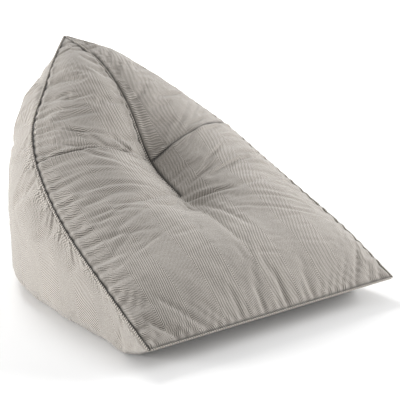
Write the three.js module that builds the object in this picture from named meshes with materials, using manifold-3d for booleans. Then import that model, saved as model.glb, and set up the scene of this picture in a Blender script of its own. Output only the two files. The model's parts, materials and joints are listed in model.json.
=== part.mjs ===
// Bean bag chair: a piped twill lounger cover, a zipped liner inside it, and a filling of beads.
// Millimetres, +Z up. The sitter faces -Y, and the peak of the back is at +Y.
//
// The cover is sewn from six panels. Two back panels and a seat panel make the face that is sat on. They
// meet at a cross seam. Two side panels run round from the front corners to a centre seam at the back,
// and a D-shaped base panel closes the bottom. Every curve below is drawn on the right half (+X) and
// mirrored. "t" runs from the peak (0) to the front edge (1) on all of them.
import * as THREE from "three";
import { mergeVertices } from "three/addons/utils/BufferGeometryUtils.js";
import Module from "manifold-3d";

const wasm = await Module();
wasm.setup();

// ---- Driving sizes -------------------------------------------------------------------------------
const HALF_WIDTH = 500; // half of the straight front edge
const EDGE_LIFT = 75; // front edge above the floor
const LIFT_LENGTH = 190; // how far back the base starts to rise to the front edge
const PEAK_Y = 1217;
const PEAK_Z = 758;
const BACK_FOOT_Y = 1070; // where the back centre seam meets the floor
const SIDE_BULGE = 62; // how far the side panels stand out of their straight line
const FACE_CROWN = 44; // how far each half of the face swells out
const CROSS_SEAM = 4 / 8; // t of the seam between the back panels and the seat
const DART_END = 5 / 8; // t where the dart in the seat ends
const SEAM_START = 0.012; // t where the side seams leave the peak
const CORNER_END = 0.98; // t where the side panels end in the front corners
const SWELL_LOW = 0.15; // the side panels stand upright between these two shares of their height
const SWELL_HIGH = 0.6;
const WALL_ROWS = [0, 0.05, 0.1, SWELL_LOW, 0.3, 0.45, SWELL_HIGH, 0.7, 0.8, 0.9, 1];

const SKIN = 2; // cover fabric
const PIPING_RADIUS = 3.2;
const SEAM_GAP = 6; // from a piped seam to the edge of its panel
const PLAIN_GAP = 0.8; // the same at a seam without piping
const CORE = new THREE.Vector3(0, 740, 145); // the liner and the filling shrink towards this point
const LINER_OUTER = 0.964;
const LINER_INNER = 0.958;
const FILL_SCALE = 0.95;

const ZIP_HALF = 150; // half of the zip's chain of teeth
const ZIP_SLOT = 5; // half of the slot in the fabric
const TAPE_WIDTH = 13;
const TAPE_THICKNESS = 1.3;
const TEETH_WIDTH = 2.6;
const SLIDER_LENGTH = 15;
const SLIDER_HALF_WIDTH = 4.6;
const SLIDER_REST = 141; // the slider's place above the middle of the zip, when it is closed
const BAIL_HEIGHT = 4; // the pull's axle above the fabric
const PULL_LENGTH = 26;

// ---- Seam curves ---------------------------------------------------------------------------------
const curve = (points) =>
  new THREE.CatmullRomCurve3(points.map((p) => new THREE.Vector3(...p)), false, "catmullrom", 0.5);

// Side seam, from the peak to a front corner.
const sideSeam = curve([
  [0, PEAK_Y, PEAK_Z],
  [116, 1103, 712],
  [228, 1001, 630],
  [333, 908, 535],
  [402, 779, 452],
  [446, 617, 359],
  [473, 445, 277],
  [492, 225, 184],
  [HALF_WIDTH, 0, EDGE_LIFT],
]);

// Middle of the face: the centre seam, the dart, and then the seat down to the front edge.
const centreLine = curve([
  [0, PEAK_Y, PEAK_Z],
  [0, 1090, 735],
  [0, 959, 678],
  [0, 828, 566],
  [0, 698, 393],
  [0, 518, 312],
  [0, 375, 274],
  [0, 195, 193],
  [0, 0, EDGE_LIFT],
]);

// Outline of the base, from one front corner round the back to the other.
const HALF_OUTLINE = [
  [HALF_WIDTH, 0],
  [462, 190],
  [462, 380],
  [458, 560],
  [444, 720],
  [394, 872],
  [290, 990],
  [150, 1053],
];
const outline = curve([
  ...HALF_OUTLINE.map(([x, y]) => [-x, y, 0]),
  [0, BACK_FOOT_Y, 0],
  ...HALF_OUTLINE.map(([x, y]) => [x, y, 0]).reverse(),
]);

// ---- Surfaces ------------------------------------------------------------------------------------
const baseHeight = (y) => (y < LIFT_LENGTH ? EDGE_LIFT * ((LIFT_LENGTH - y) / LIFT_LENGTH) ** 1.6 : 0);
const mirrored = (p, side) => new THREE.Vector3(side * p.x, p.y, p.z);

// Point of the face. s runs from -1 at the left side seam to 1 at the right one.
function face(s, t) {
  const across = Math.abs(s);
  const middle = centreLine.getPoint(t);
  const edge = mirrored(sideSeam.getPoint(t), Math.sign(s));
  // The two halves meet in a crease down to the end of the dart, and in a smooth curve below it.
  const smooth = 1 + THREE.MathUtils.smoothstep(t, DART_END, DART_END + 0.12);
  const share = across ** smooth;
  const along = centreLine.getTangent(t);
  const outward = new THREE.Vector3(0, along.z, -along.y);
  const point = new THREE.Vector3(
    edge.x * across,
    THREE.MathUtils.lerp(middle.y, edge.y, share),
    THREE.MathUtils.lerp(middle.z, edge.z, share),
  );
  return point.addScaledVector(outward, FACE_CROWN * Math.sin(Math.PI * t) * Math.sin(Math.PI * across));
}

// Share of the bulge at height v on a side panel: round below and above, constant between.
function swell(v) {
  if (v < SWELL_LOW) return Math.sin((v / SWELL_LOW) * Math.PI / 2);
  if (v > SWELL_HIGH) return Math.cos(((v - SWELL_HIGH) / (1 - SWELL_HIGH)) * Math.PI / 2);
  return 1;
}

function basePoint(side, t) {
  const p = outline.getPoint((1 + side * t) / 2);
  return p.setZ(baseHeight(p.y));
}

// Share of a side panel's height at share v of its rows.
function wallLevel(v) {
  const last = WALL_ROWS.length - 1;
  const row = Math.min(Math.floor(v * last), last - 1);
  return THREE.MathUtils.lerp(WALL_ROWS[row], WALL_ROWS[row + 1], v * last - row);
}

// Point of a side panel. v runs from 0 at the base to 1 at the side seam. Above its upright stretch the
// panel leans over to the seam.
function sideWall(side, t, v) {
  const along = outline.getTangent((1 + side * t) / 2);
  const outward = new THREE.Vector3(-along.y, along.x, 0).normalize();
  const foot = basePoint(side, t);
  const top = mirrored(sideSeam.getPoint(t), side);
  const lean = (Math.max(0, v - SWELL_HIGH) / (1 - SWELL_HIGH)) ** 1.5;
  const point = new THREE.Vector3(
    THREE.MathUtils.lerp(foot.x, top.x, lean),
    THREE.MathUtils.lerp(foot.y, top.y, lean),
    THREE.MathUtils.lerp(foot.z, top.z, v),
  );
  return point.addScaledVector(outward, SIDE_BULGE * (1 - t ** 5) * swell(v));
}

// ---- Closed solids from grids --------------------------------------------------------------------
function signedVolume(positions, triangles) {
  let volume = 0;
  for (let i = 0; i < triangles.length; i += 3) {
    const [a, b, c] = [0, 1, 2].map((k) => positions[triangles[i + k]]);
    volume += a.dot(b.clone().cross(c)) / 6;
  }
  return volume;
}

function solid(positions, triangles) {
  if (signedVolume(positions, triangles) < 0) triangles = triangles.slice().reverse();
  const geometry = new THREE.BufferGeometry().setFromPoints(positions);
  geometry.setIndex(triangles);
  return geometry;
}

// Triangles of a grid of (columns + 1) x (rows + 1) vertices, the rows one after the other.
function gridTriangles(columns, rows, start = 0) {
  const triangles = [];
  for (let j = 0; j < rows; j++) {
    for (let i = 0; i < columns; i++) {
      const a = start + j * (columns + 1) + i;
      const b = a + columns + 1;
      triangles.push(a, a + 1, b, b, a + 1, b + 1);
    }
  }
  return triangles;
}

// Turns triangles so that they face away from the core.
function facingOut(positions, triangles) {
  let sum = 0;
  for (let i = 0; i < triangles.length; i += 3) {
    const [a, b, c] = [0, 1, 2].map((k) => positions[triangles[i + k]]);
    const normal = b.clone().sub(a).cross(c.clone().sub(a));
    sum += normal.dot(a.clone().sub(CORE));
  }
  return sum < 0 ? triangles.slice().reverse() : triangles;
}

// A panel of fabric: the surface point(u, v) for u and v from 0 to 1, thickened inwards.
function fabric(point, columns, rows, thickness = SKIN) {
  const outer = [];
  const normals = [];
  const step = 1e-3;
  for (let j = 0; j <= rows; j++) {
    for (let i = 0; i <= columns; i++) {
      const u = i / columns;
      const v = j / rows;
      const du = point(Math.min(u + step, 1), v).sub(point(Math.max(u - step, 0), v));
      const dv = point(u, Math.min(v + step, 1)).sub(point(u, Math.max(v - step, 0)));
      outer.push(point(u, v));
      normals.push(du.cross(dv).normalize());
    }
  }
  const away = outer.reduce((sum, p, k) => sum + p.clone().sub(CORE).dot(normals[k]), 0);
  const inward = away > 0 ? -thickness : thickness;
  const inner = outer.map((p, k) => p.clone().addScaledVector(normals[k], inward));
  const count = outer.length;
  const triangles = gridTriangles(columns, rows);
  triangles.push(...gridTriangles(columns, rows, count).reverse());
  const rim = [];
  for (let i = 0; i < columns; i++) rim.push(i);
  for (let j = 0; j < rows; j++) rim.push(j * (columns + 1) + columns);
  for (let i = columns; i > 0; i--) rim.push(rows * (columns + 1) + i);
  for (let j = rows; j > 0; j--) rim.push(j * (columns + 1));
  rim.forEach((a, k) => {
    const b = rim[(k + 1) % rim.length];
    triangles.push(b, a, b + count, b + count, a, a + count);
  });
  return solid([...outer, ...inner], triangles);
}

// The whole bag as one closed body, shrunk towards the core.
function bag(scale, alongSteps = 20, acrossSteps = 10) {
  const upSteps = WALL_ROWS.length - 1;
  const positions = [];
  const triangles = [];
  const patch = (point, columns, rows) => {
    const grid = [];
    for (let j = 0; j <= rows; j++) {
      for (let i = 0; i <= columns; i++) grid.push(point(i / columns, j / rows));
    }
    const start = positions.length;
    positions.push(...grid);
    triangles.push(...facingOut(grid, gridTriangles(columns, rows)).map((k) => k + start));
  };
  patch((u, v) => face(2 * u - 1, v), acrossSteps, alongSteps);
  for (const side of [-1, 1]) {
    patch((u, v) => sideWall(side, u, wallLevel(v)), alongSteps, upSteps);
  }
  const rings = 4;
  const centre = new THREE.Vector3(0, 560, 0);
  const floorPoint = (rim, share) => {
    const p = centre.clone().lerp(rim, share);
    return p.setZ(baseHeight(p.y));
  };
  for (const side of [-1, 1]) {
    patch((u, v) => floorPoint(basePoint(side, u), v), alongSteps, rings);
  }
  patch((u, v) => floorPoint(face(2 * u - 1, 1), v), acrossSteps, rings);
  const closed = mergeVertices(solid(positions, triangles), 0.01);
  const index = Array.from(closed.index.array);
  const kept = [];
  for (let i = 0; i < index.length; i += 3) {
    const [a, b, c] = index.slice(i, i + 3);
    if (a !== b && b !== c && c !== a) kept.push(a, b, c);
  }
  closed.setIndex(kept);
  closed.translate(-CORE.x, -CORE.y, -CORE.z).scale(scale, scale, scale);
  return closed.translate(CORE.x, CORE.y, CORE.z);
}

// ---- Booleans ------------------------------------------------------------------------------------
function toManifold(geometry) {
  const bare = geometry.clone();
  bare.deleteAttribute("normal");
  bare.deleteAttribute("uv");
  const merged = mergeVertices(bare, 1e-3);
  return new wasm.Manifold(new wasm.Mesh({
    numProp: 3,
    vertProperties: new Float32Array(merged.attributes.position.array),
    triVerts: new Uint32Array(merged.index.array),
  }));
}

function fromManifold(manifold) {
  const mesh = manifold.getMesh();
  const geometry = new THREE.BufferGeometry();
  geometry.setAttribute("position", new THREE.BufferAttribute(new Float32Array(mesh.vertProperties), 3));
  geometry.setIndex(new THREE.BufferAttribute(new Uint32Array(mesh.triVerts), 1));
  return geometry;
}

const cut = (body, ...tools) =>
  fromManifold(tools.reduce((left, tool) => left.subtract(toManifold(tool)), toManifold(body)));
const join = (body, ...others) =>
  fromManifold(others.reduce((sum, other) => sum.add(toManifold(other)), toManifold(body)));

function block([x0, x1], [y0, y1], [z0, z1]) {
  const box = new THREE.BoxGeometry(x1 - x0, y1 - y0, z1 - z0);
  return box.translate((x0 + x1) / 2, (y0 + y1) / 2, (z0 + z1) / 2);
}

// A round cord of fabric along a path.
function tube(path, radius, steps, sides = 8) {
  const section = new THREE.Shape();
  for (let i = 0; i < sides; i++) {
    const angle = (i / sides) * 2 * Math.PI;
    const move = i === 0 ? "moveTo" : "lineTo";
    section[move](radius * Math.cos(angle), radius * Math.sin(angle));
  }
  section.closePath();
  return new THREE.ExtrudeGeometry(section, { extrudePath: path, steps, curveSegments: 1 });
}

class StretchOf extends THREE.Curve {
  constructor(source, from, to, side = 1) {
    super();
    Object.assign(this, { source, from, to, side });
  }
  getPoint(u) {
    return mirrored(this.source.getPoint(THREE.MathUtils.lerp(this.from, this.to, u)), this.side);
  }
}

// ---- Materials -----------------------------------------------------------------------------------
const twill = () => new THREE.MeshStandardMaterial({ color: 0xa9a199, roughness: 0.95, metalness: 0 });
const darkTwill = () => new THREE.MeshStandardMaterial({ color: 0x8f867d, roughness: 0.95, metalness: 0 });
const lining = () => new THREE.MeshStandardMaterial({ color: 0xe6e3dc, roughness: 0.85, metalness: 0 });
const beads = () => new THREE.MeshStandardMaterial({ color: 0xf6f6f3, roughness: 0.7, metalness: 0 });
const tape = () => new THREE.MeshStandardMaterial({ color: 0x7d756d, roughness: 0.9, metalness: 0 });
const nylon = () => new THREE.MeshStandardMaterial({ color: 0x6b645d, roughness: 0.5, metalness: 0 });
const zinc = () => new THREE.MeshStandardMaterial({ color: 0x8a8883, roughness: 0.35, metalness: 0.9 });

const chair = new THREE.Group();
function add(name, geometry, material, parent = chair) {
  const mesh = new THREE.Mesh(geometry, material);
  mesh.name = name;
  parent.add(mesh);
  return mesh;
}

// ---- Zips ----------------------------------------------------------------------------------------
// The back centre seam is upright between the two swell heights. A zip's frame stands in the middle of
// that stretch, on the outside of the fabric.
const zipMiddle = sideWall(1, 0, (SWELL_LOW + SWELL_HIGH) / 2);

function zipFrame(scale) {
  const frame = new THREE.Group();
  frame.position.copy(zipMiddle).sub(CORE).multiplyScalar(scale).add(CORE);
  frame.updateMatrixWorld();
  chair.add(frame);
  return frame;
}

function slot(frame) {
  const opening = block([-ZIP_SLOT, ZIP_SLOT], [-12, 4], [-ZIP_HALF - 5, ZIP_HALF + 5]);
  return opening.applyMatrix4(frame.matrixWorld);
}

// Tapes, teeth and end stops. "skin" is the thickness of the fabric that the zip is sewn in.
function addChain(frame, prefix, skin) {
  const tapeTop = -skin - 0.9;
  const teethLow = tapeTop + 0.3;
  const teethHigh = -0.4;
  for (const [name, side] of [["left", -1], ["right", 1]]) {
    const between = (a, b) => (side > 0 ? [a, b] : [-b, -a]);
    const strip = block(between(0.6, TAPE_WIDTH), [tapeTop - TAPE_THICKNESS, tapeTop],
      [-ZIP_HALF - 12, ZIP_HALF + 12]);
    add(`${prefix}zip_tape_${name}`, strip, tape(), frame);
    const teeth = block(between(0.3, TEETH_WIDTH), [teethLow, teethHigh], [-ZIP_HALF, ZIP_HALF]);
    add(`${prefix}zip_teeth_${name}`, teeth, nylon(), frame);
  }
  for (const [name, z] of [["bottom", -ZIP_HALF - 3.8], ["top", ZIP_HALF + 0.6]]) {
    const stop = block([-3.4, 3.4], [teethLow, 0.7], [z, z + 3.2]);
    add(`${prefix}zip_stop_${name}`, stop, zinc(), frame);
  }
}

// The slider's plate runs over the teeth, and its flanges reach down on both sides of them.
function sliderBody(skin, withBail) {
  const half = SLIDER_LENGTH / 2;
  let body = block([-SLIDER_HALF_WIDTH, SLIDER_HALF_WIDTH], [0, 1.6], [-half, half]);
  for (const side of [-1, 1]) {
    const x = side > 0 ? [2.9, 3.9] : [-3.9, -2.9];
    body = join(body, block(x, [-skin - 0.4, 0.4], [-half + 1, half - 1]));
    if (withBail) {
      const post = side > 0 ? [2.2, 3.3] : [-3.3, -2.2];
      body = join(body, block(post, [1.2, BAIL_HEIGHT + 1], [-1.6, 1.6]));
    }
  }
  if (!withBail) return body;
  const axle = new THREE.CylinderGeometry(0.8, 0.8, 5.4, 16).rotateZ(Math.PI / 2);
  return join(body, axle.translate(0, BAIL_HEIGHT, 0));
}

// The pull hangs on the bail by an eye at its origin.
function pullTab() {
  const eye = new THREE.CylinderGeometry(1.9, 1.9, 3.4, 20).rotateZ(Math.PI / 2);
  const bore = new THREE.CylinderGeometry(1.15, 1.15, 6, 20).rotateZ(Math.PI / 2);
  const neck = block([-1.7, 1.7], [-0.6, 0.6], [-5, -1]);
  const grip = new THREE.Shape();
  grip.moveTo(-2, -4);
  grip.lineTo(2, -4);
  grip.lineTo(3.2, -PULL_LENGTH + 3);
  grip.absarc(0, -PULL_LENGTH + 3, 3.2, 0, -Math.PI, true);
  grip.closePath();
  const hole = new THREE.Path();
  hole.absarc(0, -PULL_LENGTH + 3.4, 1.5, 0, 2 * Math.PI);
  grip.holes.push(hole);
  const plate = new THREE.ExtrudeGeometry(grip, { depth: 1.2, bevelEnabled: false, curveSegments: 8 });
  plate.rotateX(Math.PI / 2).translate(0, 0.6, 0);
  return cut(join(eye, neck, plate), bore);
}

// ---- Cover ---------------------------------------------------------------------------------------
const coverZip = zipFrame(1);
const linerZip = zipFrame(LINER_OUTER);

// Keeps a panel of the face clear of its side seam and, where it has one, of the centre seam.
function facePanel(side, from, to, middleGap, columns, rows) {
  return fabric((u, v) => {
    const t = THREE.MathUtils.lerp(from, to, v);
    const width = sideSeam.getPoint(t).x;
    return face(side * THREE.MathUtils.lerp(middleGap / width, 1 - SEAM_GAP / width, u), t);
  }, columns, rows);
}

const seamLength = centreLine.getLength();
const crossGap = PLAIN_GAP / seamLength;
const panelTop = 0.02;
for (const [name, side] of [["left", -1], ["right", 1]]) {
  const panel = facePanel(side, panelTop, CROSS_SEAM - crossGap, SEAM_GAP, 8, 13);
  add(`back_panel_${name}`, panel, twill());
}

function seatPanel() {
  const lowEnd = 1 - SEAM_GAP / seamLength;
  const whole = fabric((u, v) => {
    const t = THREE.MathUtils.lerp(CROSS_SEAM + crossGap, lowEnd, v);
    const width = sideSeam.getPoint(t).x;
    return face((2 * u - 1) * (1 - SEAM_GAP / width), t);
  }, 16, 14);
  const dart = new StretchOf(centreLine, CROSS_SEAM - 0.03, DART_END + 0.004);
  return cut(whole, tube(dart, SEAM_GAP, 12, 10));
}
add("seat_panel", seatPanel(), twill());

for (const [name, side] of [["left", -1], ["right", 1]]) {
  const wall = fabric((u, v) => {
    const t = THREE.MathUtils.lerp(0.0025, CORNER_END, u ** 1.15);
    const height = basePoint(side, t).distanceTo(mirrored(sideSeam.getPoint(t), side));
    const topGap = SEAM_GAP + 2 + 12 * Math.max(0, 1 - t / 0.05);
    const level = THREE.MathUtils.lerp(SEAM_GAP / height, 1 - topGap / height, wallLevel(v));
    return sideWall(side, t, level);
  }, 26, WALL_ROWS.length - 1);
  add(`side_panel_${name}`, cut(wall, slot(coverZip)), twill());
}

// The base panel lies on the floor and rises to the front edge.
function basePanel() {
  const rim = [];
  const steps = 20;
  for (let i = 0; i < 2 * steps; i++) rim.push(outline.getPoint(i / (2 * steps)));
  for (let i = 0; i < 10; i++) rim.push(new THREE.Vector3(HALF_WIDTH * (1 - i / 5), 0, 0));
  const centre = new THREE.Vector3(0, 560, 0);
  const shares = [0.988, 0.86, 0.72, 0.4];
  const layer = (rise) => {
    const points = shares.flatMap((share) => rim.map((p) => {
      const q = centre.clone().lerp(p, share);
      return q.setZ(baseHeight(q.y) + rise);
    }));
    return [...points, centre.clone().setZ(rise)];
  };
  const count = rim.length;
  const middle = shares.length * count;
  const layerTriangles = [];
  for (let k = 0; k < count; k++) {
    const next = (k + 1) % count;
    for (let r = 0; r + 1 < shares.length; r++) {
      const [a, b, c, d] = [r * count + k, r * count + next, (r + 1) * count + k, (r + 1) * count + next];
      layerTriangles.push(a, b, c, c, b, d);
    }
    layerTriangles.push((shares.length - 1) * count + k, (shares.length - 1) * count + next, middle);
  }
  const under = layer(0);
  const above = layer(SKIN);
  const triangles = [...layerTriangles, ...layerTriangles.map((k) => k + under.length).reverse()];
  for (let k = 0; k < count; k++) {
    const next = (k + 1) % count;
    triangles.push(next, k, next + under.length, next + under.length, k, k + under.length);
  }
  return solid([...under, ...above], triangles);
}
add("base_panel", basePanel(), darkTwill());

// ---- Piping --------------------------------------------------------------------------------------
for (const [name, side] of [["left", -1], ["right", 1]]) {
  const seam = new StretchOf(sideSeam, SEAM_START, 1, side);
  add(`piping_${name}`, tube(seam, PIPING_RADIUS, 44), darkTwill());
}
add("piping_centre", tube(new StretchOf(centreLine, 0, DART_END), PIPING_RADIUS, 30), darkTwill());
const frontEnd = HALF_WIDTH - SEAM_GAP;
const frontEdge = new THREE.LineCurve3(
  new THREE.Vector3(-frontEnd, 0, EDGE_LIFT),
  new THREE.Vector3(frontEnd, 0, EDGE_LIFT),
);
add("piping_front", tube(frontEdge, PIPING_RADIUS, 2), darkTwill());

// ---- Cover zip -----------------------------------------------------------------------------------
addChain(coverZip, "cover_", SKIN);
const coverSlider = add("cover_zip_slider", sliderBody(SKIN, true), zinc(), coverZip);
coverSlider.position.z = SLIDER_REST;
const pull = add("cover_zip_pull", pullTab(), zinc(), coverZip);
pull.position.set(0, BAIL_HEIGHT, SLIDER_REST);

// ---- Liner and filling ---------------------------------------------------------------------------
const linerSkin = (zipMiddle.y - CORE.y) * (LINER_OUTER - LINER_INNER);
add("inner_liner", cut(bag(LINER_OUTER), bag(LINER_INNER), slot(linerZip)), lining());
addChain(linerZip, "liner_", linerSkin);
const linerSlider = add("liner_zip_slider", sliderBody(linerSkin, false), zinc(), linerZip);
linerSlider.position.z = SLIDER_REST;
add("bead_fill", bag(FILL_SCALE), beads());

// The origin is the middle of the footprint, on the floor.
chair.updateMatrixWorld(true);
const box = new THREE.Box3().setFromObject(chair);
chair.position.set(-(box.min.x + box.max.x) / 2, -(box.min.y + box.max.y) / 2, -box.min.z);

export default chair;
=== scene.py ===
"""Bean bag chair: the visual model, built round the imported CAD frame.

The cover's panels are grids laid between the same seam curves as the CAD panels. A cloth simulation blows
them up between their seams, and then each panel is refined and gets its folds. Metres, +Z up, the sitter
faces -Y. On every grid, t runs from the peak of the back (0) to the front edge (1).
"""
import json
import math

import bmesh
import bpy
import numpy as np
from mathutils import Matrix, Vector, noise

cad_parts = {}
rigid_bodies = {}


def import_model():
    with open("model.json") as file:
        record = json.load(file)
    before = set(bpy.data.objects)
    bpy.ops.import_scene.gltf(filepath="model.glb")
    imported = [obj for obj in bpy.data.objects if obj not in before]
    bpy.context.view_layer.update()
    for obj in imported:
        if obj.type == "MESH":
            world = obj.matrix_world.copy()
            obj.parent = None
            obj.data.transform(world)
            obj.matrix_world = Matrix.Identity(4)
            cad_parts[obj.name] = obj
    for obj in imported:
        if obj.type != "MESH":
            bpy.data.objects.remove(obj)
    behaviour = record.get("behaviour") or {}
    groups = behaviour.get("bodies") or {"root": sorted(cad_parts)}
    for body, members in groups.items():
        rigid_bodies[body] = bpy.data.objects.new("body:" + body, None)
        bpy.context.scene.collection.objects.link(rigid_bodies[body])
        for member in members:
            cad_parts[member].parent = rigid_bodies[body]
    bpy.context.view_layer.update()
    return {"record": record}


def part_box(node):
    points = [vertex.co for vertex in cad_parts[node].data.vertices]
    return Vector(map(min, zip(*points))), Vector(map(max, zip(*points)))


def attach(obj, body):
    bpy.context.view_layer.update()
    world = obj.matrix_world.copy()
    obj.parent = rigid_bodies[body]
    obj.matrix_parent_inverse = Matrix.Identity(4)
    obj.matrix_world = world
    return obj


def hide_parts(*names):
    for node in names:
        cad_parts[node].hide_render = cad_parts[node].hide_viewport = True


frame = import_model()


# ---- Places that come from the frame ---------------------------------------------------------------
front_low, front_high = (np.array(corner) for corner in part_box("piping_front"))
EDGE_Y = (front_low[1] + front_high[1]) / 2
EDGE_Z = (front_low[2] + front_high[2]) / 2

# ---- Driving sizes, the same as the CAD part's ------------------------------------------------------
HALF_WIDTH = 0.5
EDGE_LIFT = 0.075
LIFT_LENGTH = 0.19
PEAK = (1.217, 0.758)
BACK_FOOT = 1.07
SIDE_BULGE = 0.062
SIDE_SLACK = 0.22
HEAD_FULLNESS = 0.05
FACE_CROWN = 0.044
DART_PILLOW = 0.028
FRONT_ROLL = 0.016
EDGE_ROLL = 0.011
CROSS_SEAM = 4 / 8
DART_END = 5 / 8
SWELL_LOW, SWELL_HIGH = 0.15, 0.6
PIPING_RADIUS = 0.0036

SIDE_SEAM = [(0, *PEAK), (0.116, 1.103, 0.712), (0.228, 1.001, 0.63), (0.333, 0.908, 0.535),
             (0.402, 0.779, 0.452), (0.446, 0.617, 0.359), (0.473, 0.445, 0.277),
             (0.492, 0.225, 0.184), (HALF_WIDTH, 0, EDGE_LIFT)]
CENTRE_LINE = [(0, *PEAK), (0, 1.09, 0.735), (0, 0.959, 0.678), (0, 0.828, 0.566), (0, 0.698, 0.393),
               (0, 0.518, 0.312), (0, 0.375, 0.274), (0, 0.195, 0.193), (0, 0, EDGE_LIFT)]
HALF_OUTLINE = [(HALF_WIDTH, 0, 0), (0.462, 0.19, 0), (0.462, 0.38, 0), (0.458, 0.56, 0), (0.444, 0.72, 0),
                (0.394, 0.872, 0), (0.29, 0.99, 0), (0.15, 1.053, 0)]
OUTLINE = ([(-x, y, z) for x, y, z in HALF_OUTLINE] + [(0, BACK_FOOT, 0)]
           + [(x, y, z) for x, y, z in reversed(HALF_OUTLINE)])

# Grid of the simulated cover, and how much finer the finished panels are.
ALONG = 96
ACROSS = 32
UP = 44
RINGS = 14
FINER = 4
SIM_FRAMES = 20
FACE_CAP = 0.024
WALL_CAP = 0.004
rng = np.random.default_rng(7)


# ---- Curves and surfaces -----------------------------------------------------------------------------
def through(points, t):
    """Catmull-Rom curve through points, at the values t from 0 to 1."""
    points = np.array(points, float)
    points = np.vstack([2 * points[0] - points[1], points, 2 * points[-1] - points[-2]])
    t = np.clip(np.asarray(t, float), 0, 1) * (len(points) - 3)
    first = np.minimum(t.astype(int), len(points) - 4)
    f = (t - first)[..., None]
    a, b, c, d = (points[first + k] for k in range(4))
    return b + f * (c - a) / 2 + f**2 * (a - 2.5 * b + 2 * c - d / 2) + f**3 * (1.5 * (b - c) + (d - a) / 2)


def tangent(points, t, step=1e-4):
    along = through(points, t + step) - through(points, t - step)
    return along / np.linalg.norm(along, axis=-1, keepdims=True)


def smoothstep(x, low, high):
    x = np.clip((x - low) / (high - low), 0, 1)
    return x * x * (3 - 2 * x)


def side_seam(side, t):
    point = through(SIDE_SEAM, t) * (side, 1, 1)
    # The stitching gathers the seam a little, which shows as a scalloped outline.
    wave = np.sin(t * 262 + side) + 0.7 * np.sin(t * 391 + 2 * side + 1)
    size = 0.0011 * smoothstep(t, 0.25, 0.45) * (1 - smoothstep(t, 0.95, 1))
    return point + (wave * size)[..., None] * np.array((side * 0.8, 0, 0.6))


def base_height(y):
    return EDGE_LIFT * np.clip((LIFT_LENGTH - y) / LIFT_LENGTH, 0, None) ** 1.6


def face(s, t):
    """Point of the face. s runs from -1 at one side seam to 1 at the other."""
    across = np.abs(s)
    middle = through(CENTRE_LINE, t)
    edge = np.where((s < 0)[..., None], side_seam(-1, t), side_seam(1, t))
    share = across ** (1 + smoothstep(t, DART_END, DART_END + 0.12))
    along = tangent(CENTRE_LINE, t)
    outward = np.stack([0 * t, along[..., 2], -along[..., 1]], -1)
    point = np.stack([edge[..., 0] * across,
                      middle[..., 1] + (edge[..., 1] - middle[..., 1]) * share,
                      middle[..., 2] + (edge[..., 2] - middle[..., 2]) * share], -1)
    # Two pillows beside the centre seam become one below the dart.
    joined = smoothstep(t, DART_END + 0.03, DART_END + 0.25)
    shape = (1 - joined) * np.sin(np.pi * across) + joined * 0.95 * np.cos(np.pi / 2 * across)
    crown = FACE_CROWN * np.sin(np.pi * t) * shape
    # The dart pulls its seam in, and the filling stands up steeply beside it.
    beside = (1 - np.exp(-across / 0.09)) * (1 - smoothstep(across, 0.35, 0.95))
    crown = crown + DART_PILLOW * beside * np.exp(-(((t - 0.54) / 0.11) ** 2))
    crown = crown + EDGE_ROLL * (1 - across**10) * smoothstep(t, 0.1, 0.4) * (1 - smoothstep(t, 0.9, 1))
    # The seat rolls over towards its front edge.
    crown = crown + FRONT_ROLL * np.sin(np.pi * np.clip((t - 0.8) / 0.2, 0, 1)) * (1 - across**6)
    return point + crown[..., None] * outward


def swell(v):
    below = np.sin(np.clip(v / SWELL_LOW, 0, 1) * np.pi / 2)
    above = np.cos(np.clip((v - SWELL_HIGH) / (1 - SWELL_HIGH), 0, 1) * np.pi / 2)
    return below * above


def base_rim(side, t):
    point = through(OUTLINE, (1 + side * t) / 2)
    point[..., 2] = base_height(point[..., 1])
    return point


def wall(side, t, v):
    """Point of a side panel. v runs from 0 at the base to 1 at the side seam."""
    along = tangent(OUTLINE, (1 + side * t) / 2)
    outward = np.stack([-along[..., 1], along[..., 0], 0 * t], -1)
    foot = base_rim(side, t)
    top = side_seam(side, t)
    lean = (np.clip(v - SWELL_HIGH, 0, None) / (1 - SWELL_HIGH)) ** 1.5
    point = foot + (top - foot) * np.stack([lean, lean, v], -1)
    slack = 1 - SIDE_SLACK * smoothstep(t, 0.2, 0.4) * (1 - smoothstep(t, 0.75, 1))
    # Beads that are pushed up behind the head fill the cloth out just below the seam.
    full = HEAD_FULLNESS * np.sin(np.pi * v**5) * smoothstep(t, 0, 0.05) * (1 - smoothstep(t, 0.2, 0.36))
    return point + (SIDE_BULGE * slack * (1 - t**5) * swell(v) + full)[..., None] * outward


def floor_patch(rim, share):
    centre = np.array((0, 0.56, 0))
    point = centre + (rim - centre) * share[..., None]
    point[..., 2] = base_height(point[..., 1])
    return point


def grid(rows, columns):
    """Row and column parameters from 0 to 1, as two arrays."""
    return np.meshgrid(np.linspace(0, 1, rows + 1), np.linspace(0, 1, columns + 1), indexing="ij")


def quads(rows, columns):
    a = (np.arange(rows)[:, None] * (columns + 1) + np.arange(columns)).ravel()
    return np.stack([a, a + 1, a + columns + 2, a + columns + 1], 1)


def finer(points, factor):
    """A grid resampled by Catmull-Rom, along its rows and then along its columns."""
    for _ in range(2):
        count = (len(points) - 1) * factor + 1
        flat = through(points.reshape(len(points), -1), np.linspace(0, 1, count))
        points = np.swapaxes(flat.reshape(count, *points.shape[1:]), 0, 1)
    return points


def row_frame(points):
    """From the curves' own origin, on the floor under the front edge, to the CAD frame."""
    return points + np.array((0, EDGE_Y, EDGE_Z - EDGE_LIFT))


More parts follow.
